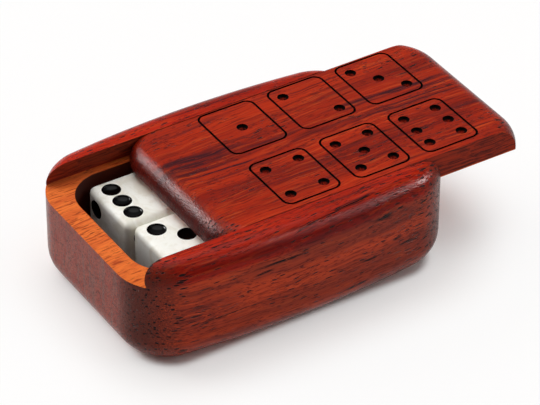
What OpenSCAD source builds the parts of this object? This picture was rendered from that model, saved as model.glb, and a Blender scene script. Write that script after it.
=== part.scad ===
// Hardwood dice box with a dovetailed sliding lid and six loose dice.
// X runs along the box, the way the lid slides open; Y runs across it; Z is up.
// The origin is the middle of the underside. Millimetres.

/* [Dice] */
// Edge length of a die
die_size = 16; // [13:0.5:20]
// Radius along the edges of a die
die_edge_radius = 1.5; // [0.6:0.1:2.4]
// Diameter of a pip
pip_diameter = 4; // [2.4:0.1:4.2]
// Depth of a pip's straight wall
pip_depth = 0.35; // [0.2:0.05:0.6]
// Further depth of the dished bottom of a pip
pip_dish = 0.25; // [0.1:0.05:0.5]
// Space between the outer pips and the rounded edge of the die
pip_margin = 0.1; // [0:0.1:0.6]

/* [Cavity] */
// Free length in front of the dice, at the end that the lid uncovers
front_play = 5.6; // [1:0.1:12]
// Free length behind the dice
rear_play = 7; // [5:0.5:12]
// Gap from one die to the next along a row
die_gap = 2; // [0.3:0.1:4]
// How much further back the near row lies
row_stagger = 1; // [0:0.1:3]
// Gap between the two rows
row_gap = 0.3; // [0.2:0.1:1.5]
// Gap between the far row and the far wall
far_play = 1.1; // [0.4:0.1:3]
// Gap between the near row and the near wall
near_play = 3; // [0.4:0.1:5]
// Space above the dice, up to the lid
die_headroom = 1.6; // [0.6:0.1:4]
// Radius of the upright corners that the cutter leaves in the cavity
cavity_corner_radius = 8.4; // [3:0.1:10]

/* [Box] */
// Thickness of the bottom
floor_thickness = 2.6; // [1.5:0.1:5]
// Thickness of the two end walls
end_wall = 4.7; // [3.5:0.1:8]
// Thickness of the two long walls at mid-length
side_wall = 7.2; // [6.4:0.1:10]
// Rise of the bowed long sides over their length
side_bow = 3; // [1.8:0.1:3.6]
// Radius of the upright outer corners
corner_radius = 11; // [8.5:0.1:13]
// Radius along the top edges
top_edge_radius = 4.4; // [2:0.1:4.6]
// Radius along the bottom edges
bottom_edge_radius = 7; // [2:0.1:8]

/* [Slot and lid] */
// Thickness of the lid
lid_thickness = 4.8; // [4.6:0.1:7]
// Width of the slot's floor beside the cavity, at mid-length
ledge = 1.8; // [1.2:0.1:2.2]
// Lean of the slot's sides from upright
dovetail_angle = 15; // [6:0.5:18]
// How much further each side of the slot stands out at its open end
slot_taper = 0.4; // [0:0.05:0.6]
// Gap between the lid and each side of the slot
lid_side_gap = 0.12; // [0.05:0.01:0.3]
// Gap between the lid and the slot's floor
lid_floor_gap = 0.05; // [0.02:0.01:0.2]
// How far each end of the closed lid stands back from the end of the box
lid_end_gap = 0.5; // [0.1:0.1:1.5]
// How far the lid stands open
lid_open = 19.1; // [0:0.1:48]

/* [Engraved faces] */
// Length of a face along the box
face_length = 13; // [10:0.1:15]
// Width of a face across the box
face_width = 15.4; // [10:0.1:16]
// Radius of a face's corners
face_corner_radius = 1.8; // [0.8:0.1:3]
// Gap between faces along the box
face_gap_x = 3.7; // [2:0.1:4]
// Gap between the two rows of faces
face_gap_y = 4.4; // [2:0.1:5]
// Shift of the faces from the middle of the lid towards its open end
face_shift_x = 3.7; // [0:0.1:4]
// Shift of the faces from the middle of the lid away from the viewer
face_shift_y = 0.5; // [0:0.1:1]
// Width of the engraved line
line_width = 0.24; // [0.15:0.01:0.5]
// Depth of the engraved line
line_depth = 0.3; // [0.1:0.05:0.8]
// Diameter of an engraved pip
mark_diameter = 2.2; // [1.2:0.1:2.6]
// Depth of an engraved pip
mark_depth = 0.8; // [0.3:0.1:1.5]
// Space between the outer engraved pips and the line, along the box
mark_margin_x = 1.4; // [1:0.1:2.5]
// Space between the outer engraved pips and the line, across the box
mark_margin_y = 1.8; // [1:0.1:2.5]

/* [Hidden] */
$fn = 64;
over = 1; // how far a cutter runs past the surface that it cuts

dice_per_row = 3;
cavity_length = dice_per_row * die_size + (dice_per_row - 1) * die_gap + front_play + rear_play;
cavity_width = 2 * die_size + row_gap + far_play + near_play;
box_length = cavity_length + 2 * end_wall;
box_width = cavity_width + 2 * side_wall;
rim_height = floor_thickness + die_size + die_headroom;
box_height = rim_height + lid_thickness;
lid_from = rim_height + lid_floor_gap;

half_length = box_length / 2;
half_width = box_width / 2;
// In whole millimetres, so that the long arc keeps meeting the corners without a step
side_radius = round((half_length * half_length + side_bow * side_bow) / (2 * side_bow));
side_centre = half_width - side_radius;
corner_x = half_length - corner_radius;
corner_y = side_centre + sqrt(pow(side_radius - corner_radius, 2) - corner_x * corner_x);
side_angle = atan2(corner_x, corner_y - side_centre);

slot_foot = cavity_width / 2 + ledge;
slot_lean = tan(dovetail_angle);

faces_per_row = 3;
face_pitch_x = face_length + face_gap_x;
face_pitch_y = face_width + face_gap_y;
mark_x = face_length / 2 - mark_margin_x - mark_diameter / 2;
mark_y = face_width / 2 - mark_margin_y - mark_diameter / 2;

pip_pitch = die_size / 2 - die_edge_radius - pip_margin - pip_diameter / 2;
die_middle = floor_thickness + die_size / 2;
row_y = [cavity_width / 2 - far_play - die_size / 2,
         cavity_width / 2 - far_play - die_size / 2 - die_size - row_gap];

// Places of the pips, as steps from the middle of a face, for one to six
pips = [
    [[0, 0]],
    [[-1, -1], [1, 1]],
    [[-1, -1], [0, 0], [1, 1]],
    [[-1, -1], [-1, 1], [1, -1], [1, 1]],
    [[-1, -1], [-1, 1], [0, 0], [1, -1], [1, 1]],
    [[-1, -1], [-1, 0], [-1, 1], [1, -1], [1, 0], [1, 1]]
];

// A quarter disc, with its corner at the origin
module quarter_disc(r) {
    intersection() {
        circle(r);
        square(r);
    }
}

// Section of the outer wall, from x = inside to its outer face at x = outside
module wall_section(inside, outside) {
    top_x = outside - top_edge_radius;
    top_y = box_height - top_edge_radius;
    bottom_x = outside - bottom_edge_radius;
    polygon([
        [inside, 0], [bottom_x, 0], [bottom_x, bottom_edge_radius], [outside, bottom_edge_radius],
        [outside, top_y], [top_x, top_y], [top_x, box_height], [inside, box_height]
    ]);
    translate([top_x, top_y]) quarter_disc(top_edge_radius);
    translate([bottom_x, bottom_edge_radius]) mirror([0, 1]) quarter_disc(bottom_edge_radius);
}

// One bowed long side, reaching in past the line of the corners' centres
module bowed_side() {
    translate([0, side_centre, 0])
        rotate([0, 0, 90 - side_angle])
        rotate_extrude(angle = 2 * side_angle, $fn = 720)
        wall_section(side_radius - corner_radius - side_bow, side_radius);
}

// One upright outer corner
module outer_corner() {
    translate([corner_x, corner_y, 0])
        rotate_extrude(angle = 90 - side_angle)
        wall_section(0, corner_radius);
}

// One straight end, between two corners
module straight_end() {
    translate([0, corner_y, 0])
        rotate([90, 0, 0])
        linear_extrude(2 * corner_y) wall_section(corner_x, half_length);
}

// The outside of the closed box, up to its top, with each end standing back by a distance
module outer_block(stand_back) {
    translate([-corner_x, -corner_y, 0]) cube([2 * corner_x, 2 * corner_y, box_height]);
    for (side = [0, 1]) mirror([0, side, 0]) bowed_side();
    for (end = [0, 1]) mirror([end, 0, 0]) translate([-stand_back, 0, 0]) {
        straight_end();
        for (side = [0, 1]) mirror([0, side, 0]) outer_corner();
    }
}

// A wedge-shaped dovetail bar along the slot, from height z0 up past the top
module dovetail_bar(z0, gap) {
    x = half_length + over;
    z1 = box_height + over;
    function half(x, z) = slot_foot - gap + slot_taper * x / box_length
        - (z - rim_height) * slot_lean;
    polyhedron(
        points = [
            [-x, -half(-x, z0), z0], [x, -half(x, z0), z0], [x, half(x, z0), z0], [-x, half(-x, z0), z0],
            [-x, -half(-x, z1), z1], [x, -half(x, z1), z1], [x, half(x, z1), z1], [-x, half(-x, z1), z1]
        ],
        faces = [[0, 1, 2, 3], [7, 6, 5, 4], [0, 4, 5, 1], [1, 5, 6, 2], [2, 6, 7, 3], [3, 7, 4, 0]]
    );
}

// A rectangle with rounded corners, about the origin
module rounded_rectangle(length, width, r) {
    x = length / 2;
    y = width / 2;
    polygon([
        [-x, r - y], [r - x, r - y], [r - x, -y], [x - r, -y], [x - r, r - y], [x, r - y],
        [x, y - r], [x - r, y - r], [x - r, y], [r - x, y], [r - x, y - r], [-x, y - r]
    ]);
    for (a = [0, 1], b = [0, 1]) mirror([a, 0]) mirror([0, b])
        translate([x - r, y - r]) quarter_disc(r);
}

module box_body() {
    color([0.52, 0.17, 0.12])
    difference() {
        outer_block(0);
        dovetail_bar(rim_height, 0);
        translate([0, 0, floor_thickness])
            linear_extrude(rim_height - floor_thickness + over)
            rounded_rectangle(cavity_length, cavity_width, cavity_corner_radius);
    }
}

// One engraved die face: its outline and its pips
module engraved_face(value) {
    translate([0, 0, box_height - line_depth])
        linear_extrude(line_depth + over)
        difference() {
            rounded_rectangle(face_length + line_width, face_width + line_width,
                face_corner_radius + line_width / 2);
            rounded_rectangle(face_length - line_width, face_width - line_width,
                face_corner_radius - line_width / 2);
        }
    turned = value == 2 || value == 3 ? -1 : 1;
    for (p = pips[value - 1])
        translate([p[0] * mark_x, p[1] * mark_y * turned, box_height - mark_depth])
            cylinder(d = mark_diameter, h = mark_depth + over, $fn = 32);
}

module sliding_lid() {
    color([0.65, 0.23, 0.14])
    translate([lid_open, 0, 0])
    difference() {
        intersection() {
            outer_block(lid_end_gap);
            dovetail_bar(lid_from, lid_side_gap);
        }
        for (row = [0, 1], column = [0 : faces_per_row - 1])
            translate([
                face_shift_x + (column - (faces_per_row - 1) / 2) * face_pitch_x,
                face_shift_y + (0.5 - row) * face_pitch_y,
                0
            ]) engraved_face(1 + row * faces_per_row + column);
    }
}

// A cube with rounded edges, about the origin, from blocks, quarter rods and ball corners
module rounded_cube() {
    r = die_edge_radius;
    s = die_size / 2;
    f = s - r;
    cube([2 * f, 2 * f, 2 * s], center = true);
    cube([2 * f, 2 * s, 2 * f], center = true);
    cube([2 * s, 2 * f, 2 * f], center = true);
    for (turn = [[0, 0, 0], [90, 0, 90], [0, 90, 90]]) rotate(turn)
        for (a = [0, 1], b = [0, 1]) mirror([a, 0, 0]) mirror([0, b, 0])
            translate([f, f, -f]) linear_extrude(2 * f) quarter_disc(r);
    for (a = [0, 1], b = [0, 1], c = [0, 1])
        mirror([a, 0, 0]) mirror([0, b, 0]) mirror([0, 0, c])
            translate([f, f, f]) rotate_extrude(angle = 90) quarter_disc(r);
}

// The pips of one face, cut downwards from the top of the die
module pip_cuts(value) {
    for (p = pips[value - 1])
        translate([p[0] * pip_pitch, p[1] * pip_pitch, die_size / 2 - pip_depth]) {
            cylinder(d = pip_diameter, h = pip_depth + over, $fn = 32);
            translate([0, 0, -pip_dish])
                cylinder(d1 = pip_diameter / 2, d2 = pip_diameter, h = pip_dish, $fn = 32);
        }
}

// A die about its middle, six on top and two facing the front of the box
module die() {
    difference() {
        rounded_cube();
        pip_cuts(6);
        rotate([180, 0, 0]) pip_cuts(1);
        rotate([0, -90, 0]) pip_cuts(2);
        rotate([0, 90, 0]) pip_cuts(5);
        rotate([-90, 0, 0]) pip_cuts(3);
        rotate([90, 0, 0]) pip_cuts(4);
    }
}

// A die in its place: row 0 is the far one, column 0 the one at the front
module placed_die(column, row, turn) {
    color([0.93, 0.92, 0.88])
    translate([
        -cavity_length / 2 + front_play + row * row_stagger + die_size / 2 + column * (die_size + die_gap),
        row_y[row],
        die_middle
    ])
    rotate(turn) die();
}

module die_1() { placed_die(0, 0, [0, 0, 0]); }
module die_2() { placed_die(0, 1, [90, 0, 90]); }
module die_3() { placed_die(1, 0, [0, 90, 0]); }
module die_4() { placed_die(1, 1, [180, 0, 90]); }
module die_5() { placed_die(2, 0, [-90, 0, 0]); }
module die_6() { placed_die(2, 1, [0, -90, 90]); }

box_body();
sliding_lid();
die_1();
die_2();
die_3();
die_4();
die_5();
die_6();
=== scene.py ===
# Dice box with a dovetailed sliding lid: its finishes, camera, floor and light.
# Lengths are metres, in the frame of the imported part; mm turns millimetres into them.
import math
import bmesh
import bpy
from mathutils import Matrix, Vector


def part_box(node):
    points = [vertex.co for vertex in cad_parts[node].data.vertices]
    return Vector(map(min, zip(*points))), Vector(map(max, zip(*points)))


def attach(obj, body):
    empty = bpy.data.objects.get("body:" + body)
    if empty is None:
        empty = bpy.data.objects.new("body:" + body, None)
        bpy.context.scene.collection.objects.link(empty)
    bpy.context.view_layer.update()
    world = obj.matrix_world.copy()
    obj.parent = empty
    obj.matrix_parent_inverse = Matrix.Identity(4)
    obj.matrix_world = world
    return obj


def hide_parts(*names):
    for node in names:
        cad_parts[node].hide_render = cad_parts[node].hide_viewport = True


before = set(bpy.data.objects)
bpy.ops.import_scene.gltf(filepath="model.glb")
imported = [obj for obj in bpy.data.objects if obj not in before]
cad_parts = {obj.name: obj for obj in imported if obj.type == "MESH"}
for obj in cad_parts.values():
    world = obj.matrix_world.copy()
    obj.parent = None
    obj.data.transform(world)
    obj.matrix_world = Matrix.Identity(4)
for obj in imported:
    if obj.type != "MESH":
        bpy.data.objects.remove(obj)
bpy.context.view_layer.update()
mm = 0.001


class Wire:
    # an output of a node, which takes part in sums and products
    def __init__(self, graph, socket):
        self.graph = graph
        self.socket = socket

    def maths(self, operation, first, second):
        return self.graph.add("ShaderNodeMath", {"operation": operation}, {0: first, 1: second})

    def __add__(self, other):
        return self.maths("ADD", self, other)

    def __radd__(self, other):
        return self.maths("ADD", other, self)

    def __sub__(self, other):
        return self.maths("SUBTRACT", self, other)

    def __rsub__(self, other):
        return self.maths("SUBTRACT", other, self)

    def __mul__(self, other):
        return self.maths("MULTIPLY", self, other)

    def __rmul__(self, other):
        return self.maths("MULTIPLY", other, self)


class Graph:
    # adds nodes to a tree; settings come first, then values and links
    def __init__(self, tree):
        self.tree = tree

    def add(self, kind, settings=None, values=None, output=0):
        node = self.tree.nodes.new(kind)
        for name, setting in (settings or {}).items():
            if name == "stops":
                self.setStops(node.color_ramp, setting)
            else:
                setattr(node, name, setting)
        for name, value in (values or {}).items():
            if isinstance(value, Wire):
                self.tree.links.new(value.socket, node.inputs[name])
            else:
                node.inputs[name].default_value = value
        return Wire(self, node.outputs[output]) if len(node.outputs) else None

    def setStops(self, ramp, stops):
        while len(ramp.elements) < len(stops):
            ramp.elements.new(1)
        for element, (position, colour) in zip(ramp.elements, stops):
            element.position = position
            element.color = colour

    def vectors(self, operation, first, second):
        return self.add("ShaderNodeVectorMath", {"operation": operation}, {0: first, 1: second})

    # a place with each axis times its own factor
    def stretched(self, place, factors):
        return self.vectors("MULTIPLY", place, factors)

    def greater(self, first, second):
        return self.add("ShaderNodeMath", {"operation": "MAXIMUM"}, {0: first, 1: second})

    def noise(self, place, detail=2.0, roughness=0.5, distortion=0.0, output=0):
        values = {"Vector": place, "Scale": 1, "Detail": detail, "Roughness": roughness, "Distortion": distortion}
        return self.add("ShaderNodeTexNoise", None, values, output)

    # 0 below low, 1 above high and smooth between; low above high turns it round
    def step(self, value, low, high):
        values = {"Value": value, "From Min": low, "From Max": high, "To Min": 0, "To Max": 1}
        return self.add("ShaderNodeMapRange", {"interpolation_type": "SMOOTHSTEP"}, values)

    def mix(self, factor, first, second, blend="MIX"):
        values = {0: factor, 6: first, 7: second}
        return self.add("ShaderNodeMix", {"data_type": "RGBA", "blend_type": blend}, values, 2)

    def axes(self, place):
        return [self.add("ShaderNodeSeparateXYZ", None, {0: place}, axis) for axis in range(3)]


# a screen colour, 0 to 255, as the linear colour that a shader takes
def paint(red, green, blue):
    def linear(part):
        part /= 255
        return part / 12.92 if part <= 0.04045 else ((part + 0.055) / 1.055) ** 2.4
    return (linear(red), linear(green), linear(blue), 1)


def newMaterial(name):
    material = bpy.data.materials.new(name)
    material.use_nodes = True
    material.node_tree.nodes.clear()
    return material, Graph(material.node_tree)


def finishMaterial(graph, shader):
    graph.add("ShaderNodeOutputMaterial", None, {"Surface": shader})


# Wood: red hardwood with its grain along X

woodLook = {
    "bright": paint(176, 42, 10),
    "deep": paint(136, 26, 8),
    # side colours below the top round-over: the wood's own tone, with a painted reflection haze on the box
    "sideBrightToneAndHaze": paint(176, 42, 10),
    "sideDeepToneAndHaze": paint(136, 26, 8),
    "glow": paint(206, 82, 30),
    "glowShare": 0.45,
    "purple": paint(62, 17, 23),
    "line": paint(72, 15, 9),
    "pore": paint(8, 3, 3),
    "endGrain": paint(148, 66, 50),
    "endRed": paint(138, 36, 20),
    "endShade": paint(72, 28, 20),
    "gloss": 0.078,
    "roughness": 0.17,
    "poreDepth": 0.14 * mm,
    "poreShare": 0.42,
    "browner": paint(96, 40, 28),
    "endBand": paint(118, 82, 74),
    "shadeFrom": -10,
    "shadeTo": -18,
    "shadeShare": 0.86,
    "poresFrom": -14,
    "poresTo": -17,
}

# the box is browner than the lid, and the lid's ends are redder; the box's browner sides are partly its own tone
# and partly a painted reflection haze
boxWoodLook = dict(woodLook)
boxWoodLook["bright"] = paint(182, 34, 7)
boxWoodLook["deep"] = paint(128, 18, 7)
boxWoodLook["sideBrightToneAndHaze"] = paint(196, 66, 29)
boxWoodLook["sideDeepToneAndHaze"] = paint(138, 46, 26)
boxWoodLook["glow"] = paint(204, 82, 34)
boxWoodLook["glowShare"] = 0.3
lidWoodLook = dict(woodLook)
lidWoodLook["endGrain"] = paint(106, 25, 15)
lidWoodLook["endRed"] = paint(92, 17, 10)
lidWoodLook["endShade"] = paint(52, 13, 13)
lidWoodLook["endBand"] = paint(64, 16, 18)
lidWoodLook["poreShare"] = 0.49
lidWoodLook["shadeFrom"] = 10
lidWoodLook["shadeTo"] = 4
lidWoodLook["shadeShare"] = 0.42
lidWoodLook["poresFrom"] = -9
lidWoodLook["poresTo"] = -13

# dark streaks: middle (x, y, z), reach along each axis, turn about each axis in degrees, strength
lidStreaks = {
    "forkUpper": ((-8, 6.8, 25), (16, 1.2, 6), (0, 0, -5), 1),
    "forkLower": ((-11, 4.9, 25), (15, 1.4, 6), (0, 0, 1), 0.95),
    "forkFoot": ((-9, 2.7, 25), (11, 1.0, 6), (0, 0, -3), 0.8),
    "forkTail": ((9, 4.0, 25), (11, 0.7, 6), (0, 0, -4), 0.7),
    "leftLine": ((-3, 0.8, 25), (18, 0.4, 6), (0, 0, -1.5), 1),
    "rightBand": ((39, 5.2, 25), (21, 1.1, 6), (0, 0, -1.5), 1),
    "rightShade": ((48, 3.2, 25), (13, 0.9, 6), (0, 0, 1), 0.8),
    "rightNear": ((50, -6.5, 25), (12, 0.8, 6), (0, 0, -2), 0.6),
    "middleLineOne": ((41, 0.9, 25), (19, 0.35, 6), (0, 0, 0), 0.9),
    "middleLineTwo": ((38, -0.3, 25), (21, 0.3, 6), (0, 0, -1), 0.8),
    "middleLineThree": ((44, 1.9, 25), (11, 0.3, 6), (0, 0, 1), 0.6),
    "nearLine": ((18, -9.3, 25), (36, 0.32, 6), (0, 0, 0), 0.7),
    "nearBand": ((40, -14.6, 25), (17, 0.5, 6), (0, 0, 0), 0.6),
    "farLine": ((28, 14.9, 25), (24, 0.3, 6), (0, 0, -1), 0.5),
    "farBand": ((-2, 15.4, 25), (14, 0.6, 6), (0, 0, 3), 0.4),
}

bodyStreaks = {
    "cheekShade": ((12, -20.6, 25), (18, 0.5, 1.5), (0, 0, 0), 0.6),
    "cheekFall": ((0, -24, 22.6), (36, 1.6, 1.8), (0, 0, 0), 0.45),
    "lowShade": ((-20, -25, 5), (14, 4, 1.2), (0, 0, 0), 0.45),
    "leftShade": ((-25, -25, 13), (14, 5, 8), (0, 0, 0), 0.5),
    "farShade": ((-6, 22.5, 23.5), (26, 0.9, 0.9), (0, 0, 0), 0.6),
    "farLine": ((8, 21, 25), (22, 0.3, 1), (0, 0, 0), 0.7),
}

# rows of open pores, placed as the streaks are
lidPores = {
    "nearRow": ((30, -6.2, 25), (20, 0.3, 6), (0, 0, 0), 0.6),
    "farRow": ((26, 12.6, 25), (22, 0.3, 6), (0, 0, 0), 0.5),
}

bodyPores = {
    "cheekRow": ((8, -22.9, 24.2), (20, 1.3, 0.32), (0, 0, 0), 1),
    "highRow": ((-7, -25, 19.4), (8.5, 4, 0.5), (0, 0, 0), 1),
    "highDash": ((-11, -25, 18.1), (3.5, 4, 0.4), (0, 0, 0), 1),
    "rightRow": ((17.5, -25, 19.8), (3.2, 4, 0.7), (0, 0, 0), 1),
    "longLine": ((-19, -25, 10.5), (10, 4, 0.36), (0, 0.6, 0), 1),
    "middleDash": ((14.5, -25, 11), (3.4, 4, 0.5), (0, 0, 0), 1),
    "rightDash": ((23.5, -25, 11), (3.2, 4, 0.4), (0, 0, 0), 1),
    "knotDash": ((21, -25, 13), (1.5, 4, 0.6), (0, 0, 0), 1),
    "lowDash": ((11, -25, 5.4), (4.5, 4, 0.45), (0, 0, 0), 1),
}


# the position on the piece in millimetres, plain, wandering with the grain, and wandering and shifted
def grainPlace(graph, seed):
    place = graph.add("ShaderNodeTexCoord", output="Object")
    place = graph.stretched(place, (1 / mm, 1 / mm, 1 / mm))
    shifted = graph.vectors("ADD", place, seed)
    broad = graph.noise(graph.stretched(shifted, (0.024, 0.05, 0.05)), 1, output=1)
    broad = graph.stretched(graph.vectors("SUBTRACT", broad, (0.5, 0.5, 0.5)), (0, 3.6, 3.6))
    close = graph.noise(graph.stretched(shifted, (0.13, 0.22, 0.22)), 1, output=1)
    close = graph.stretched(graph.vectors("SUBTRACT", close, (0.5, 0.5, 0.5)), (0, 1.3, 1.3))
    grain = graph.vectors("ADD", graph.vectors("ADD", place, broad), close)
    return place, grain, graph.vectors("ADD", grain, seed)


# a long soft streak, as a lens in the grain
def streakMask(graph, grain, streak):
    middle, reach, turn, strength = streak
    turn = [math.radians(angle) for angle in turn]
    values = {"Vector": grain, "Location": middle, "Rotation": turn, "Scale": reach}
    local = graph.add("ShaderNodeMapping", {"vector_type": "TEXTURE"}, values)
    distance = graph.add("ShaderNodeVectorMath", {"operation": "LENGTH"}, {0: local}, "Value")
    return graph.step(distance, 1, 0.3) * strength


# pores: short tubes along the grain, cut open where they meet a surface, and denser where crowded
def poreMask(graph, shifted, pitch, size, share, crowded=0):
    length, width = pitch
    cells = graph.stretched(shifted, (1 / length, 1 / width, 1 / width))
    settings = {"voronoi_dimensions": "3D", "feature": "F1"}
    distance = graph.add("ShaderNodeTexVoronoi", settings, {"Vector": cells, "Scale": 1})
    crowd = graph.noise(graph.stretched(shifted, (0.05, 0.22, 0.22)), 1)
    crowd = graph.add("ShaderNodeMath", {"operation": "MULTIPLY_ADD"}, {0: crowded, 1: 0.3, 2: crowd})
    return graph.step(distance, size, size * 0.72) * graph.step(crowd, share, share + 0.08)


def woodColour(graph, place, shifted, look):
    # below the top round-over the side colours take over: partly the wood's own tone, partly a painted reflection
    # haze
    low = graph.step(graph.axes(place)[2], 21.4, 19.8)
    bright = graph.mix(low, look["bright"], look["sideBrightToneAndHaze"])
    deep = graph.mix(low, look["deep"], look["sideDeepToneAndHaze"])
    broad = graph.noise(graph.stretched(shifted, (0.012, 0.12, 0.12)), 2)
    streak = graph.noise(graph.stretched(shifted, (0.022, 0.6, 0.6)), 4, 0.6)
    thread = graph.noise(graph.stretched(shifted, (0.05, 1.3, 1.3)), 3, 0.6)
    fine = graph.noise(graph.stretched(shifted, (0.07, 3.4, 3.4)), 3, 0.65)
    colour = graph.mix(graph.step(broad, 0.38, 0.64), bright, deep)
    colour = graph.mix(graph.step(thread, 0.5, 0.28) * look["glowShare"], colour, look["glow"])
    colour = graph.mix(graph.step(streak, 0.54, 0.72) * 0.55, colour, look["purple"])
    colour = graph.mix(graph.step(thread, 0.54, 0.74) * 0.45, colour, look["line"])
    return graph.mix(graph.step(fine, 0.49, 0.68) * 0.72, colour, look["line"])


# the sawn ends: mottled, with more shade where the wood is darker
def endColour(graph, shifted, look, shade):
    patch = graph.noise(graph.stretched(shifted, (0.2, 0.5, 0.5)), 3, 0.6)
    band = graph.noise(graph.stretched(shifted, (0.1, 0.8, 0.07)), 3, 0.6)
    fleck = graph.noise(graph.stretched(shifted, (0.3, 2.4, 1.8)), 3, 0.7)
    colour = graph.mix(graph.step(patch, 0.42, 0.62) * 0.6, look["endGrain"], look["endRed"])
    colour = graph.mix(graph.step(band, 0.46, 0.62) * 0.55, colour, look["endBand"])
    colour = graph.mix(graph.step(fleck, 0.5, 0.64) * 0.8, colour, look["endShade"])
    return graph.mix(shade, colour, look["endShade"])


# lacquered wood, with its ends darker and more open on one side
def makeWood(name, look, streaks, pores, seed):
    material, graph = newMaterial(name)
    place, grain, shifted = grainPlace(graph, seed)
    colour = woodColour(graph, place, shifted, look)
    fibre = graph.noise(graph.stretched(shifted, (0.1, 5, 5)), 2)
    for streaksHere, tone, start in ((streaks, "purple", 0.31), (pores, "pore", 0.34)):
        dark = 0
        for streak in streaksHere.values():
            dark = graph.greater(dark, streakMask(graph, grain, streak))
        colour = graph.mix(dark * graph.step(fibre, start, start + 0.18), colour, look[tone])
    endGrain = graph.add("ShaderNodeAttribute", {"attribute_name": "endGrain"}, output="Fac")
    across = graph.axes(place)[1]
    shade = graph.step(across, look["shadeFrom"], look["shadeTo"]) * look["shadeShare"]
    near = graph.step(endGrain, 0.06, 0.5)
    colour = graph.mix(near * shade * graph.step(fibre, 0.25, 0.6), colour, look["browner"])
    ends = graph.step(endGrain, 0.35, 0.95)
    colour = graph.mix(ends, colour, endColour(graph, shifted, look, shade))
    share = look["poreShare"]
    coarse = poreMask(graph, shifted, (4.5, 0.72), 0.22, share)
    small = poreMask(graph, shifted, (2.2, 0.4), 0.27, share - 0.04, ends)
    corner = graph.step(endGrain, 0.04, 0.16) * graph.step(across, look["poresFrom"], look["poresTo"])
    coarse = graph.greater(coarse, poreMask(graph, shifted, (5, 0.8), 0.3, 0.2, corner) * corner)
    colour = graph.mix(small * 0.7, colour, look["line"])
    colour = graph.mix(coarse * 0.95, colour, look["pore"])
    ripple = graph.noise(graph.stretched(shifted, (0.5, 1.3, 1.3)), 3, 0.6)
    grit = graph.noise(graph.stretched(shifted, (3.5, 4.5, 4.5)), 2, 0.6)
    height = fibre * 0.15 + ripple * 0.5 + grit * (near * 0.42 + 0.08) - coarse - small * 0.7
    bump = graph.add("ShaderNodeBump", None, {"Height": height, "Distance": look["poreDepth"], "Strength": 0.9})
    shader = graph.add("ShaderNodeBsdfPrincipled", None, {
        "Base Color": colour,
        "Roughness": fibre * 0.12 + coarse * 0.3 + look["roughness"],
        "Specular IOR Level": look["gloss"],
        "Normal": bump,
    })
    finishMaterial(graph, shader)
    return material


bodyWood = makeWood("bodyWood", boxWoodLook, bodyStreaks, bodyPores, (11, 3, 5))
lidWood = makeWood("lidWood", lidWoodLook, lidStreaks, lidPores, (47, 21, 9))

# bare sawn wood: level faces are bright; the darker slanted sides and hollow are partly its own tone and partly
# painted shade, where the slot's overhang and the cavity lie in shade
boxRaw = {
    "level": paint(234, 118, 48),
    "levelRed": paint(196, 76, 32),
    "levelDash": paint(148, 46, 16),
    # the darker side and hollow colours: partly painted shade of the slot's overhang and the cavity
    "side": paint(150, 50, 18),
    "hollowToneAndShade": paint(70, 24, 10),
    "grainLine": paint(70, 22, 10),
    "levelHeight": 20.2,
    "roughness": 0.7,
    "gloss": 0.06,
}

lidRaw = {
    "level": paint(206, 100, 42),
    "levelRed": paint(180, 72, 30),
    "levelDash": paint(140, 48, 20),
    "side": paint(150, 38, 6),
    "hollowToneAndShade": paint(150, 38, 6),
    "grainLine": paint(54, 14, 6),
    "levelHeight": 20.25,
    "roughness": 0.6,
    "gloss": 0.08,
}


def makeRawWood(name, look, seed):
    material, graph = newMaterial(name)
    place, grain, shifted = grainPlace(graph, seed)
    height = graph.axes(place)[2]
    dashes = graph.noise(graph.stretched(shifted, (0.22, 2.2, 2.2)), 3, 0.6)
    fine = graph.noise(graph.stretched(shifted, (0.06, 4.5, 4.5)), 3, 0.6)
    side = graph.mix(graph.step(fine, 0.42, 0.64) * 0.85, look["side"], look["grainLine"])
    hollowToneAndShade = graph.mix(graph.step(fine, 0.42, 0.7) * 0.5, look["hollowToneAndShade"], look["grainLine"])
    level = graph.mix(graph.step(dashes, 0.53, 0.64) * 0.85, look["level"], look["levelDash"])
    level = graph.mix(graph.step(fine, 0.48, 0.7) * 0.5, level, look["levelDash"])
    patch = graph.noise(graph.stretched(shifted, (0.09, 0.4, 0.4)), 3, 0.6)
    level = graph.mix(graph.step(patch, 0.42, 0.62) * 0.45, level, look["levelRed"])
    above = look["levelHeight"] + 0.12
    below = look["levelHeight"] - 0.12
    # painted shade: the slanted sides above the level and the hollow below it are darker
    colour = graph.mix(graph.step(height, above, above + 0.1), level, side)
    colour = graph.mix(graph.step(height, below, below - 0.1), colour, hollowToneAndShade)
    pores = poreMask(graph, shifted, (3.2, 0.5), 0.22, 0.4)
    colour = graph.mix(pores * 0.6, colour, look["grainLine"])
    bump = graph.add("ShaderNodeBump", None, {"Height": fine * 0.5 - pores, "Distance": 0.08 * mm, "Strength": 0.7})
    shader = graph.add("ShaderNodeBsdfPrincipled", None, {
        "Base Color": colour,
        "Roughness": fine * 0.15 + look["roughness"],
        "Specular IOR Level": look["gloss"],
        "Normal": bump,
    })
    finishMaterial(graph, shader)
    return material


rawBody = makeRawWood("rawBody", boxRaw, (11, 3, 5))
rawLid = makeRawWood("rawLid", lidRaw, (47, 21, 9))

burnLook = {
    "soot": paint(5, 3, 3),
    "scorch": paint(16, 7, 6),
    "bottom": paint(122, 26, 14),
    "bottomHeight": 24.38,
}


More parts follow.
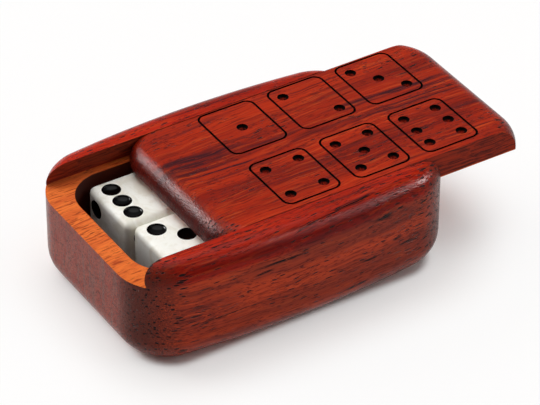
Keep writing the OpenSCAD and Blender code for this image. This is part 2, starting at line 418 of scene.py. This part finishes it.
# the engraving: burnt black, with plain wood showing on the bottoms of the drilled marks
def makeBurnt():
    material, graph = newMaterial("burntWood")
    place, grain, shifted = grainPlace(graph, (47, 21, 9))
    speckle = graph.noise(graph.stretched(shifted, (2.4, 2.4, 2.4)), 3, 0.6)
    colour = graph.mix(graph.step(speckle, 0.45, 0.75), burnLook["soot"], burnLook["scorch"])
    edge = burnLook["bottomHeight"]
    bare = graph.step(graph.axes(place)[2], edge + 0.1, edge - 0.15)
    colour = graph.mix(bare * graph.step(speckle, 0.68, 0.4), colour, burnLook["bottom"])
    bump = graph.add("ShaderNodeBump", None, {"Height": speckle, "Distance": 0.05 * mm, "Strength": 0.6})
    shader = graph.add("ShaderNodeBsdfPrincipled", None, {
        "Base Color": colour,
        "Roughness": speckle * 0.2 + 0.7,
        "Specular IOR Level": 0.01,
        "Normal": bump,
    })
    finishMaterial(graph, shader)
    return material


burntWood = makeBurnt()
print("wood materials made")


# Dice: marbled ivory plastic with black paint in the pips

diePlasticLook = {
    "pale": paint(253, 252, 244),
    "vein": paint(234, 229, 214),
    "roughness": 0.36,
    "gloss": 0.1,
}

pipPaintLook = {
    "black": paint(3, 3, 3),
    "dust": paint(10, 10, 9),
    "roughness": 0.09,
    "gloss": 0.08,
}


def makeDiePlastic():
    material, graph = newMaterial("diePlastic")
    place, grain, shifted = grainPlace(graph, (3, 7, 1))
    cloud = graph.noise(graph.stretched(place, (0.16, 0.16, 0.16)), 3, 0.55, 1.4)
    vein = graph.noise(graph.stretched(place, (0.5, 0.5, 0.5)), 2, 0.5, 2.0)
    colour = graph.mix(graph.step(cloud, 0.42, 0.66) * 0.8, diePlasticLook["pale"], diePlasticLook["vein"])
    colour = graph.mix(graph.step(vein, 0.55, 0.7) * 0.4, colour, diePlasticLook["vein"])
    scuff = graph.noise(graph.stretched(place, (1.4, 1.4, 1.4)), 3, 0.6)
    bump = graph.add("ShaderNodeBump", None, {"Height": scuff, "Distance": 0.01 * mm, "Strength": 0.4})
    shader = graph.add("ShaderNodeBsdfPrincipled", None, {
        "Base Color": colour,
        "Roughness": scuff * 0.12 + diePlasticLook["roughness"],
        "Specular IOR Level": diePlasticLook["gloss"],
        "Normal": bump,
    })
    finishMaterial(graph, shader)
    return material


def makePipPaint():
    material, graph = newMaterial("pipPaint")
    place, grain, shifted = grainPlace(graph, (3, 7, 1))
    dust = graph.noise(graph.stretched(place, (1.8, 1.8, 1.8)), 3, 0.6)
    colour = graph.mix(graph.step(dust, 0.5, 0.8), pipPaintLook["black"], pipPaintLook["dust"])
    bump = graph.add("ShaderNodeBump", None, {"Height": dust, "Distance": 0.02 * mm, "Strength": 0.4})
    shader = graph.add("ShaderNodeBsdfPrincipled", None, {
        "Base Color": colour,
        "Roughness": dust * 0.15 + pipPaintLook["roughness"],
        "Specular IOR Level": pipPaintLook["gloss"],
        "Normal": bump,
    })
    finishMaterial(graph, shader)
    return material


diePlastic = makeDiePlastic()
pipPaint = makePipPaint()
print("dice materials made")


# Shapes

def meshObject(name, points, faces, material):
    mesh = bpy.data.meshes.new(name)
    mesh.from_pydata(points, [], faces)
    mesh.materials.append(material)
    mesh.validate()
    piece = bpy.data.objects.new(name, mesh)
    bpy.context.scene.collection.objects.link(piece)
    return piece


# the mesh of a piece with its modifiers, which then come off
def settle(piece):
    bpy.context.view_layer.update()
    graph = bpy.context.evaluated_depsgraph_get()
    mesh = bpy.data.meshes.new_from_object(piece.evaluated_get(graph), depsgraph=graph)
    piece.modifiers.clear()
    piece.data = mesh


def combine(piece, other, operation):
    modifier = piece.modifiers.new("cut", "BOOLEAN")
    modifier.object = other
    modifier.operation = operation
    modifier.solver = "EXACT"
    modifier.material_mode = "TRANSFER"
    settle(piece)
    bpy.data.objects.remove(other)


# softens the edges sharper than the angle, then shades the piece smooth between sharp edges
def easeEdges(piece, width, sharpAngle=math.radians(28)):
    shape = bmesh.new()
    shape.from_mesh(piece.data)
    bmesh.ops.remove_doubles(shape, verts=shape.verts, dist=0.002 * mm)
    bmesh.ops.dissolve_degenerate(shape, edges=shape.edges, dist=0.002 * mm)
    sharp = [edge for edge in shape.edges if edge.is_manifold and edge.calc_face_angle(0) > sharpAngle]
    bmesh.ops.bevel(shape, geom=sharp, offset=width, offset_type="OFFSET", segments=2, profile=0.6,
                    affect="EDGES", clamp_overlap=True, material=-1)
    bmesh.ops.recalc_face_normals(shape, faces=shape.faces)
    shape.to_mesh(piece.data)
    shape.free()
    piece.data.shade_smooth()
    weighted = piece.modifiers.new("weighted", "WEIGHTED_NORMAL")
    weighted.weight = 80
    settle(piece)


# how far the surface faces along the grain, for the colour of the end grain
def markEndGrain(piece):
    facing = [abs(normal.vector.x) for normal in piece.data.corner_normals]
    attribute = piece.data.attributes.new("endGrain", "FLOAT", "CORNER")
    attribute.data.foreach_set("value", facing)


boxLook = {
    "sideBow": 3 * mm,
    "cornerRadius": 11 * mm,
    "topEdge": 4.4 * mm,
    "bottomEdge": 7 * mm,
    "lidThickness": 4.8 * mm,
    "floor": 2.6 * mm,
    "endWall": 4.7 * mm,
    "cavityWidth": 36.4 * mm,
    "cavityCorner": 8.4 * mm,
    "ledge": 1.8 * mm,
    "dovetailLean": math.tan(math.radians(15)),
    "slotTaper": 0.4 * mm,
    "easedEdge": 0.1 * mm,
}

lidLook = {
    "sideGap": 0.12 * mm,
    "floorGap": 0.05 * mm,
    "faceLength": 13 * mm,
    "faceWidth": 15.4 * mm,
    "faceCorner": 1.8 * mm,
    "faceGapX": 3.7 * mm,
    "faceGapY": 4.4 * mm,
    "shiftX": 3.7 * mm,
    "shiftY": 0.5 * mm,
    "lineWidth": 0.5 * mm,
    "lineDepth": 0.3 * mm,
    "markDiameter": 2.4 * mm,
    "markDepth": 0.8 * mm,
    "marginX": 1.4 * mm,
    "marginY": 1.8 * mm,
    "easedEdge": 0.05 * mm,
}

pipSteps = {
    1: [(0, 0)],
    2: [(-1, 1), (1, -1)],
    3: [(-1, 1), (0, 0), (1, -1)],
    4: [(-1, -1), (-1, 1), (1, -1), (1, 1)],
    5: [(-1, -1), (-1, 1), (0, 0), (1, -1), (1, 1)],
    6: [(-1, -1), (-1, 0), (-1, 1), (1, -1), (1, 0), (1, 1)],
}

boxLow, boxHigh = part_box("box_body")
lidLow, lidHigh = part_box("sliding_lid")
boxLength = boxHigh.x - boxLow.x
boxWidth = boxHigh.y - boxLow.y
boxHeight = boxHigh.z
rimHeight = boxHeight - boxLook["lidThickness"]


# a quarter of a circle in steps, as (share along, share across)
def quarterTurn(steps):
    return [(math.sin(math.pi / 2 * k / steps), math.cos(math.pi / 2 * k / steps)) for k in range(steps + 1)]


# the outline of the block: for each point the middle and radius of its arc, and its direction
def blockOutline(length, look):
    halfLength = length / 2
    halfWidth = boxWidth / 2
    bow = look["sideBow"]
    radius = look["cornerRadius"]
    sideRadius = round(((boxLength / 2) ** 2 + bow ** 2) / (2 * bow) / mm) * mm
    sideMiddle = halfWidth - sideRadius
    cornerX = halfLength - radius
    cornerY = sideMiddle + math.sqrt((sideRadius - radius) ** 2 - cornerX ** 2)
    turn = math.atan2(cornerX, cornerY - sideMiddle)
    outline = []

    def arc(x, y, r, start, end, steps):
        for k in range(steps):
            outline.append((x, y, r, start + (end - start) * k / steps))

    quarter = math.pi / 2
    arc(cornerX, cornerY, radius, 0, quarter - turn, 20)
    arc(0, sideMiddle, sideRadius, quarter - turn, quarter + turn, 72)
    arc(-cornerX, cornerY, radius, quarter + turn, 2 * quarter, 20)
    arc(-cornerX, cornerY, radius, 2 * quarter, 2 * quarter, 1)
    arc(-cornerX, -cornerY, radius, 2 * quarter, 3 * quarter - turn, 20)
    arc(0, -sideMiddle, sideRadius, 3 * quarter - turn, 3 * quarter + turn, 72)
    arc(cornerX, -cornerY, radius, 3 * quarter + turn, 4 * quarter, 20)
    arc(cornerX, -cornerY, radius, 4 * quarter, 4 * quarter, 1)
    return outline


# the closed block with bowed sides and rounded edges, shifted along X
def roundedBlock(name, length, shift, material):
    outline = blockOutline(length, boxLook)
    bottom = boxLook["bottomEdge"]
    top = boxLook["topEdge"]
    rows = [(bottom * (1 - along), bottom * (1 - across)) for along, across in quarterTurn(8)]
    rows += [(top * (1 - across), boxHeight - top * (1 - along)) for along, across in quarterTurn(12)]
    points = []
    for inset, z in rows:
        for x, y, radius, direction in outline:
            reach = radius - inset
            points.append((shift + x + reach * math.cos(direction), y + reach * math.sin(direction), z))
    around = len(outline)
    faces = [list(reversed(range(around)))]
    for row in range(len(rows) - 1):
        for k in range(around):
            after = (k + 1) % around
            faces.append([row * around + k, row * around + after,
                          (row + 1) * around + after, (row + 1) * around + k])
    faces.append([(len(rows) - 1) * around + k for k in range(around)])
    return meshObject(name, points, faces, material)


# the wedge-shaped dovetail bar along the slot, from height low up past the top, shifted along X
def dovetailBar(low, gap, shift, material):
    reach = boxLength / 2 + 1 * mm
    high = boxHeight + 1 * mm

    def half(x, z):
        foot = boxLook["cavityWidth"] / 2 + boxLook["ledge"] - gap
        return foot + boxLook["slotTaper"] * x / boxLength - (z - rimHeight) * boxLook["dovetailLean"]

    points = []
    for z in (low, high):
        for x, side in ((-reach, -1), (reach, -1), (reach, 1), (-reach, 1)):
            points.append((x + shift, side * half(x, z), z))
    faces = [(3, 2, 1, 0), (4, 5, 6, 7), (0, 1, 5, 4), (1, 2, 6, 5), (2, 3, 7, 6), (3, 0, 4, 7)]
    return meshObject("dovetailBar", points, faces, material)


# an upright prism with a rounded rectangle for its plan
def roundedPrism(length, width, radius, low, high, material):
    ring = []
    for signX, signY, start in ((1, 1, 0), (-1, 1, 1), (-1, -1, 2), (1, -1, 3)):
        for k in range(15):
            angle = math.pi / 2 * (start + k / 14)
            ring.append((signX * (length / 2 - radius) + radius * math.cos(angle),
                         signY * (width / 2 - radius) + radius * math.sin(angle)))
    around = len(ring)
    points = [(x, y, z) for z in (low, high) for x, y in ring]
    faces = [list(reversed(range(around))), list(range(around, 2 * around))]
    for k in range(around):
        after = (k + 1) % around
        faces.append([k, after, around + after, around + k])
    return meshObject("roundedPrism", points, faces, material)


def makeBody():
    body = roundedBlock("boxBody", boxLength, 0, bodyWood)
    combine(body, dovetailBar(rimHeight, 0, 0, rawBody), "DIFFERENCE")
    cavity = roundedPrism(boxLength - 2 * boxLook["endWall"], boxLook["cavityWidth"], boxLook["cavityCorner"],
                          boxLook["floor"], boxHeight, rawBody)
    combine(body, cavity, "DIFFERENCE")
    easeEdges(body, boxLook["easedEdge"])
    markEndGrain(body)
    return body


# Geometry Nodes: stamps a line round each face place and a drilled mark at each mark place
def stampTree():
    tree = bpy.data.node_groups.new("stampFaces", "GeometryNodeTree")
    tree.interface.new_socket("Geometry", in_out="INPUT", socket_type="NodeSocketGeometry")
    for name in ("faceLength", "faceWidth", "faceCorner", "lineWidth", "lineDepth", "markDiameter", "markDepth"):
        tree.interface.new_socket(name, in_out="INPUT", socket_type="NodeSocketFloat")
    tree.interface.new_socket("finish", in_out="INPUT", socket_type="NodeSocketMaterial")
    tree.interface.new_socket("Geometry", in_out="OUTPUT", socket_type="NodeSocketGeometry")
    graph = Graph(tree)
    given = tree.nodes.new("NodeGroupInput")

    def value(name):
        return Wire(graph, given.outputs[name])

    isMark = graph.add("GeometryNodeInputNamedAttribute", {"data_type": "FLOAT"}, {"Name": "isMark"})
    rectangle = graph.add("GeometryNodeCurvePrimitiveQuadrilateral", None,
                          {"Width": value("faceLength"), "Height": value("faceWidth")})
    rectangle = graph.add("GeometryNodeFilletCurve", {"mode": "POLY"},
                          {"Curve": rectangle, "Count": 8, "Radius": value("faceCorner")})
    rectangle = graph.add("GeometryNodeSetCurveNormal", {"mode": "Z_UP"}, {"Curve": rectangle})
    section = graph.add("GeometryNodeCurvePrimitiveQuadrilateral", None,
                        {"Width": value("lineWidth"), "Height": value("lineDepth") * 2})
    line = graph.add("GeometryNodeCurveToMesh", None, {"Curve": rectangle, "Profile Curve": section})
    mark = graph.add("GeometryNodeMeshUVSphere", None, {"Segments": 32, "Rings": 16, "Radius": 1})
    size = graph.add("ShaderNodeCombineXYZ", None, {
        "X": value("markDiameter") * 0.5, "Y": value("markDiameter") * 0.5, "Z": value("markDepth")})
    mark = graph.add("GeometryNodeTransform", None, {"Geometry": mark, "Scale": size})
    lines = graph.add("GeometryNodeInstanceOnPoints", None,
                      {"Points": value("Geometry"), "Selection": 1 - isMark, "Instance": line})
    marks = graph.add("GeometryNodeInstanceOnPoints", None,
                      {"Points": value("Geometry"), "Selection": isMark, "Instance": mark})
    joined = tree.nodes.new("GeometryNodeJoinGeometry")
    for part in (lines, marks):
        tree.links.new(part.socket, joined.inputs[0])
    real = graph.add("GeometryNodeRealizeInstances", None, {0: Wire(graph, joined.outputs[0])})
    real = graph.add("GeometryNodeSetMaterial", None, {"Geometry": real, "Material": value("finish")})
    result = tree.nodes.new("NodeGroupOutput")
    tree.links.new(real.socket, result.inputs[0])
    return tree


# sets a tree's inputs by their identifiers on a new modifier
def addTree(piece, tree, values):
    modifier = piece.modifiers.new(tree.name, "NODES")
    modifier.node_group = tree
    for item in tree.interface.items_tree:
        if item.in_out == "INPUT" and item.name in values:
            modifier[item.identifier] = values[item.name]
    return modifier


def makeStamps(middleX):
    look = lidLook
    pitchX = look["faceLength"] + look["faceGapX"]
    pitchY = look["faceWidth"] + look["faceGapY"]
    stepX = look["faceLength"] / 2 - look["marginX"] - look["markDiameter"] / 2
    stepY = look["faceWidth"] / 2 - look["marginY"] - look["markDiameter"] / 2
    places = []
    isMark = []
    for value in range(1, 7):
        row, column = divmod(value - 1, 3)
        x = middleX + look["shiftX"] + (column - 1) * pitchX
        y = look["shiftY"] + (0.5 - row) * pitchY
        places.append((x, y, boxHeight))
        isMark.append(0)
        for alongX, alongY in pipSteps[value]:
            places.append((x + alongX * stepX, y + alongY * stepY, boxHeight))
            isMark.append(1)
    stamps = meshObject("stamps", places, [], burntWood)
    attribute = stamps.data.attributes.new("isMark", "FLOAT", "POINT")
    attribute.data.foreach_set("value", isMark)
    values = {name: look[name] for name in look if name not in ("sideGap", "floorGap")}
    values["finish"] = burntWood
    addTree(stamps, stampTree(), values)
    settle(stamps)
    return stamps


def makeLid():
    middleX = (lidLow.x + lidHigh.x) / 2
    lid = roundedBlock("slidingLid", lidHigh.x - lidLow.x, middleX, lidWood)
    bar = dovetailBar(rimHeight + lidLook["floorGap"], lidLook["sideGap"], middleX, rawLid)
    combine(lid, bar, "INTERSECT")
    combine(lid, makeStamps(middleX), "DIFFERENCE")
    easeEdges(lid, lidLook["easedEdge"])
    markEndGrain(lid)
    return lid


body = makeBody()
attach(body, "box")
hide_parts("box_body")
print("box body made:", len(body.data.polygons), "faces")

lid = makeLid()
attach(lid, "lid")
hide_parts("sliding_lid")
print("sliding lid made:", len(lid.data.polygons), "faces")


# Dice

dieLook = {
    "edgeRadius": 1.5 * mm,
    "pipDiameter": 4 * mm,
    "pipDepth": 0.7 * mm,
    "pipMargin": 0.1 * mm,
    "easedEdge": 0.06 * mm,
}


# a cube with rounded edges about the origin
def roundedCube(size, radius):
    half = size / 2
    flat = half - radius
    steps = [-half + radius * (1 - math.cos(math.pi / 2 * k / 6)) for k in range(6)]
    steps = steps + [-flat + 2 * flat * k / 6 for k in range(7)] + [-value for value in reversed(steps)]
    count = len(steps)
    points = []
    faces = []
    for axis in range(3):
        for side in (-1, 1):
            first = len(points)
            for u in steps:
                for v in steps:
                    point = Vector((0, 0, 0))
                    point[axis] = side * half
                    point[(axis + 1) % 3] = u
                    point[(axis + 2) % 3] = v
                    core = Vector([max(-flat, min(flat, part)) for part in point])
                    points.append(core + (point - core).normalized() * radius)
            for i in range(count - 1):
                for j in range(count - 1):
                    corner = first + i * count + j
                    face = [corner, corner + count, corner + count + 1, corner + 1]
                    faces.append(face if side > 0 else face[::-1])
    cube = meshObject("die", points, faces, diePlastic)
    shape = bmesh.new()
    shape.from_mesh(cube.data)
    bmesh.ops.remove_doubles(shape, verts=shape.verts, dist=0.01 * mm)
    shape.to_mesh(cube.data)
    shape.free()
    return cube


# Geometry Nodes: a flattened ball at each pip place, turned to face outwards
def pipTree():
    tree = bpy.data.node_groups.new("pips", "GeometryNodeTree")
    tree.interface.new_socket("Geometry", in_out="INPUT", socket_type="NodeSocketGeometry")
    for name in ("pipDiameter", "pipDepth"):
        tree.interface.new_socket(name, in_out="INPUT", socket_type="NodeSocketFloat")
    tree.interface.new_socket("finish", in_out="INPUT", socket_type="NodeSocketMaterial")
    tree.interface.new_socket("Geometry", in_out="OUTPUT", socket_type="NodeSocketGeometry")
    graph = Graph(tree)
    given = tree.nodes.new("NodeGroupInput")
    radius = Wire(graph, given.outputs["pipDiameter"]) * 0.5
    ball = graph.add("GeometryNodeMeshUVSphere", None, {"Segments": 36, "Rings": 18, "Radius": 1})
    size = graph.add("ShaderNodeCombineXYZ", None,
                     {"X": radius, "Y": radius, "Z": Wire(graph, given.outputs["pipDepth"])})
    ball = graph.add("GeometryNodeTransform", None, {"Geometry": ball, "Scale": size})
    outward = graph.add("GeometryNodeInputNamedAttribute", {"data_type": "FLOAT_VECTOR"}, {"Name": "outward"})
    turn = graph.add("FunctionNodeAlignRotationToVector", {"axis": "Z"}, {"Vector": outward})
    balls = graph.add("GeometryNodeInstanceOnPoints", None,
                      {"Points": Wire(graph, given.outputs["Geometry"]), "Instance": ball, "Rotation": turn})
    real = graph.add("GeometryNodeRealizeInstances", None, {0: balls})
    real = graph.add("GeometryNodeSetMaterial", None,
                     {"Geometry": real, "Material": Wire(graph, given.outputs["finish"])})
    result = tree.nodes.new("NodeGroupOutput")
    tree.links.new(real.socket, result.inputs[0])
    return tree


# the pips of all six faces, six on top and two towards the front of the box
def makePips(size):
    pitch = size / 2 - dieLook["edgeRadius"] - dieLook["pipMargin"] - dieLook["pipDiameter"] / 2
    turns = {6: (0, 0), 1: (180, 0), 2: (0, -90), 5: (0, 90), 3: (-90, 0), 4: (90, 0)}
    places = []
    outwards = []
    for value, (aboutX, aboutY) in turns.items():
        turn = Matrix.Rotation(math.radians(aboutX), 3, "X") @ Matrix.Rotation(math.radians(aboutY), 3, "Y")
        for u, v in pipSteps[value]:
            places.append(turn @ Vector((u * pitch, -v * pitch, size / 2)))
            outwards.extend(turn @ Vector((0, 0, 1)))
    pips = meshObject("pips", places, [], pipPaint)
    attribute = pips.data.attributes.new("outward", "FLOAT_VECTOR", "POINT")
    attribute.data.foreach_set("vector", outwards)
    values = {"pipDiameter": dieLook["pipDiameter"], "pipDepth": dieLook["pipDepth"], "finish": pipPaint}
    addTree(pips, pipTree(), values)
    settle(pips)
    return pips


dieTurns = {
    "die_1": (0, 0, 0),
    "die_2": (90, 0, 90),
    "die_3": (0, 90, 0),
    "die_4": (180, 0, 90),
    "die_5": (-90, 0, 0),
    "die_6": (0, -90, 90),
}


def makeDice():
    low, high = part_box("die_1")
    size = high.z - low.z
    pattern = roundedCube(size, dieLook["edgeRadius"])
    combine(pattern, makePips(size), "DIFFERENCE")
    easeEdges(pattern, dieLook["easedEdge"])
    for name, (aboutX, aboutY, aboutZ) in dieTurns.items():
        low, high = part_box(name)
        die = bpy.data.objects.new(name.replace("_", "") + "Visual", pattern.data.copy())
        bpy.context.scene.collection.objects.link(die)
        turn = Matrix.Rotation(math.radians(aboutZ), 4, "Z") @ Matrix.Rotation(math.radians(aboutY), 4, "Y")
        turn = turn @ Matrix.Rotation(math.radians(aboutX), 4, "X")
        die.data.transform(Matrix.Translation((low + high) / 2) @ turn)
        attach(die, name)
        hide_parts(name)
    bpy.data.objects.remove(pattern)


makeDice()
print("dice made")


# Camera: where the photographer stood, found from the edges of the box

view = {
    "azimuth": -32.448,
    "elevation": 36.553,
    "roll": 0.332,
    "eye": Vector((-279.63, -449.7, 407.44)) * mm,
    "focalPixels": 3252.4,
    "imageWidth": 540,
    "sensor": 36,
}


def makeCamera():
    azimuth = math.radians(view["azimuth"])
    elevation = math.radians(view["elevation"])
    roll = math.radians(view["roll"])
    back = Vector((math.sin(azimuth) * math.cos(elevation),
                   -math.cos(azimuth) * math.cos(elevation),
                   math.sin(elevation)))
    level = Vector((math.cos(azimuth), math.sin(azimuth), 0))
    above = back.cross(level)
    right = level * math.cos(roll) + above * math.sin(roll)
    up = above * math.cos(roll) - level * math.sin(roll)
    data = bpy.data.cameras.new("camera")
    data.sensor_width = view["sensor"]
    data.lens = view["focalPixels"] / view["imageWidth"] * view["sensor"]
    data.clip_start = 0.01
    data.clip_end = 20
    camera = bpy.data.objects.new("camera", data)
    turn = Matrix((right, up, back)).transposed().to_4x4()
    camera.matrix_world = Matrix.Translation(view["eye"]) @ turn
    bpy.context.scene.collection.objects.link(camera)
    bpy.context.scene.camera = camera


# Floor and light: dim in front, brighter behind, with soft lamps at the back and on the right

lightLook = {
    "paper": paint(253, 248, 245),
    "half": (26, 14.4, 0),
    "corner": 11,
    # the next three: an oval under the lid's overhang where the paper's glow is cut, a painted shadow
    "overhang": (44, -2, 0),
    "overhangReach": (19, 27, 1),
    "overhangPaintedShadow": 0.62,
    "nearGlow": 0.5,
    "farGlow": 0.84,
    "glowStart": -4.3,
    "glowEnd": -1.8,
    "glowFar": 16,
    "worldFront": 0.13,
    "worldBack": 0.46,
}

# direction towards the lamp, how wide it looks in degrees, and its share of a white floor's light
lampLook = {
    "above": ((0.04, 0.2, 1), 54, 0.53),
    "backLeft": ((-0.55, 0.68, 0.48), 30, 0.15),
    "frontRight": ((0.6, -0.6, 0.53), 30, 0.07),
}

# the same lamps' bright panels, which only show as highlights
panelLook = {
    "leftPanel": ((-0.54, 0.69, 0.48), 25, 0.95),
    "rightPanel": ((0.75, -0.48, 0.45), 17, 0.8),
    "strip": ((0.44, -0.48, 0.75), 6, 0.1),
}


# what a camera or a mirror sees of the paper is brighter away from the box, so its shadow is pale
def makeFloor():
    material, graph = newMaterial("floorPaper")
    place = graph.stretched(graph.add("ShaderNodeTexCoord", output="Object"), (1 / mm, 1 / mm, 0))
    shadowSpot = graph.vectors("SUBTRACT", place, lightLook["overhang"])
    shadowSpot = graph.vectors("DIVIDE", shadowSpot, lightLook["overhangReach"])
    shadowSpot = graph.add("ShaderNodeVectorMath", {"operation": "LENGTH"}, {0: shadowSpot}, "Value")
    place = graph.vectors("SUBTRACT", graph.vectors("ABSOLUTE", place, (0, 0, 0)), lightLook["half"])
    place = graph.vectors("MAXIMUM", place, (0, 0, 0))
    away = graph.add("ShaderNodeVectorMath", {"operation": "LENGTH"}, {0: place}, "Value") - lightLook["corner"]
    path = "ShaderNodeLightPath"
    seen = graph.add(path, output="Is Camera Ray") + graph.add(path, output="Is Glossy Ray")
    seen = seen + graph.add(path, output="Is Transmission Ray")
    near = graph.step(away, lightLook["glowStart"], lightLook["glowEnd"]) * lightLook["nearGlow"]
    far = graph.step(away, 0, lightLook["glowFar"]) * (lightLook["farGlow"] - lightLook["nearGlow"])
    # painted shadow: the glow is cut in an oval under the lid's overhang, so the real shadow there shows darker
    shade = graph.step(shadowSpot, 1, 0) * lightLook["overhangPaintedShadow"]
    share = graph.step(seen, 0, 1) * (near + far) * (1 - shade)
    paper = graph.add("ShaderNodeBsdfDiffuse", None, {"Color": lightLook["paper"]})
    glow = graph.add("ShaderNodeEmission", None, {"Color": (1, 1, 1, 1), "Strength": 1})
    shader = graph.add("ShaderNodeMixShader", None, {0: share, 1: paper, 2: glow})
    finishMaterial(graph, shader)
    reach = 3
    points = [(-reach, -reach, 0), (reach, -reach, 0), (reach, reach, 0), (-reach, reach, 0)]
    floor = meshObject("floor", points, [(0, 1, 2, 3)], material)


def makeWorld():
    world = bpy.data.worlds.new("studio")
    bpy.context.scene.world = world
    world.use_nodes = True
    world.node_tree.nodes.clear()
    graph = Graph(world.node_tree)
    direction = graph.add("ShaderNodeTexCoord", output="Generated")
    behind = graph.step(graph.axes(direction)[1], -0.35, 0.7)
    strength = behind * (lightLook["worldBack"] - lightLook["worldFront"]) + lightLook["worldFront"]
    shader = graph.add("ShaderNodeBackground", None, {"Color": (1, 1, 1, 1), "Strength": strength})
    graph.add("ShaderNodeOutputWorld", None, {"Surface": shader})


def makeLamps(lamps, diffuse):
    for name, (direction, width, share) in lamps.items():
        towards = Vector(direction).normalized()
        data = bpy.data.lights.new(name, "SUN")
        data.angle = math.radians(width)
        data.energy = share * math.pi / towards.z
        lamp = bpy.data.objects.new(name, data)
        lamp.location = towards
        lamp.visible_diffuse = diffuse
        lamp.rotation_mode = "QUATERNION"
        lamp.rotation_quaternion = towards.to_track_quat("Z", "Y")
        bpy.context.scene.collection.objects.link(lamp)


makeCamera()
makeFloor()
makeWorld()
makeLamps(lampLook, True)
makeLamps(panelLook, False)
bpy.context.scene.view_settings.view_transform = "Standard"
print("camera, floor and light made")
